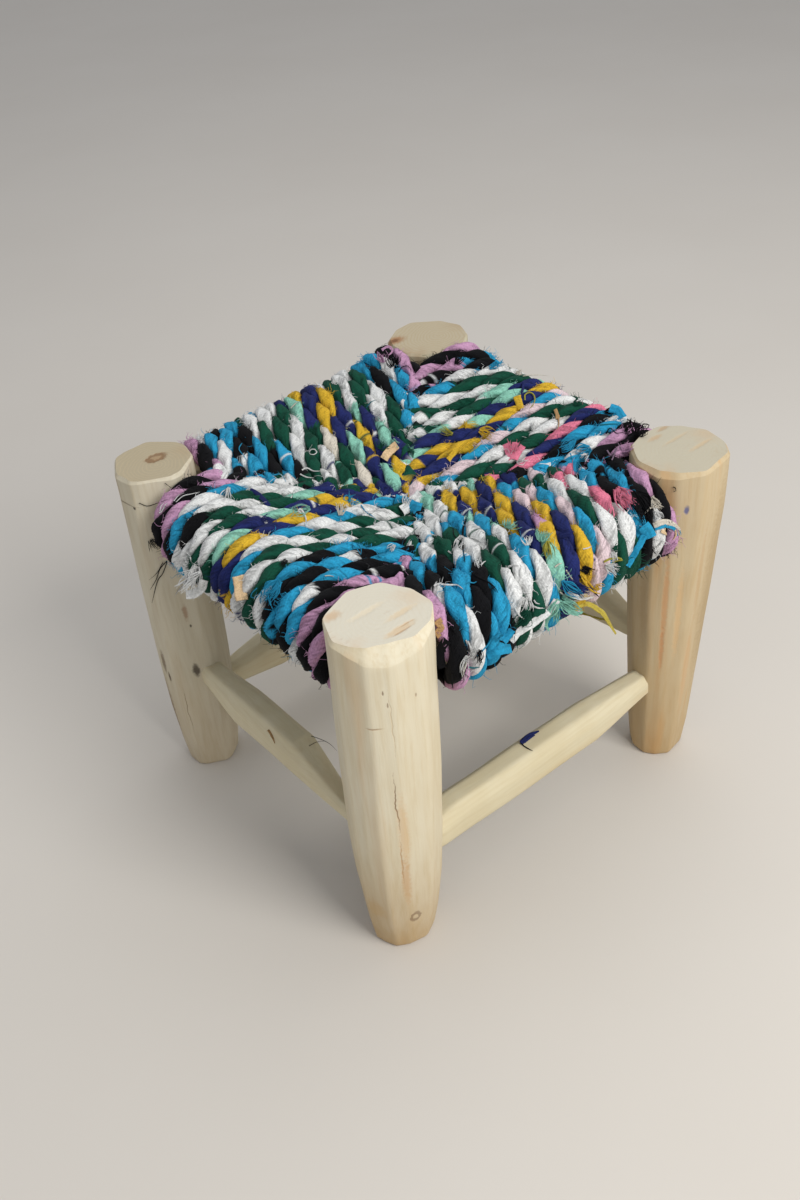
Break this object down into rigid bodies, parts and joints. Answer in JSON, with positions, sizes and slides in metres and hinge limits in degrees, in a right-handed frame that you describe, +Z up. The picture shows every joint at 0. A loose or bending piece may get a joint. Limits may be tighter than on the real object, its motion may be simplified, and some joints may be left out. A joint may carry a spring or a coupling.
{
  "type": "stool",
  "caption": "Low square kursi stool: stout hewn wooden legs, pointed stretchers and a dished seat of thick many-coloured rag rope wound in triangular fields.",
  "frame": {"origin": "on the floor, below the centre of the seat", "axes": "+Z up; +X to the right and +Y to the rear, square to the sides of the seat"},
  "size_m": [0.3067, 0.2999, 0.25],
  "materials": {
    "leg_wood": "peeled, raw",
    "rail_wood": "peeled, raw",
    "stretcher_wood": "hewn, raw",
    "rag_rope": "twisted rags"
  },
  "bodies": {
    "root": {"leg_front_left": "leg_wood", "leg_front_right": "leg_wood", "leg_rear_right": "leg_wood", "leg_rear_left": "leg_wood", "seat_rail_front": "rail_wood", "seat_rail_right": "rail_wood", "seat_rail_rear": "rail_wood", "seat_rail_left": "rail_wood", "stretcher_front": "stretcher_wood", "stretcher_right": "stretcher_wood", "stretcher_rear": "stretcher_wood", "stretcher_left": "stretcher_wood", "rope_winding_front": "rag_rope", "rope_winding_right": "rag_rope", "rope_winding_rear": "rag_rope", "rope_winding_left": "rag_rope"}
  },
  "joints": []
}
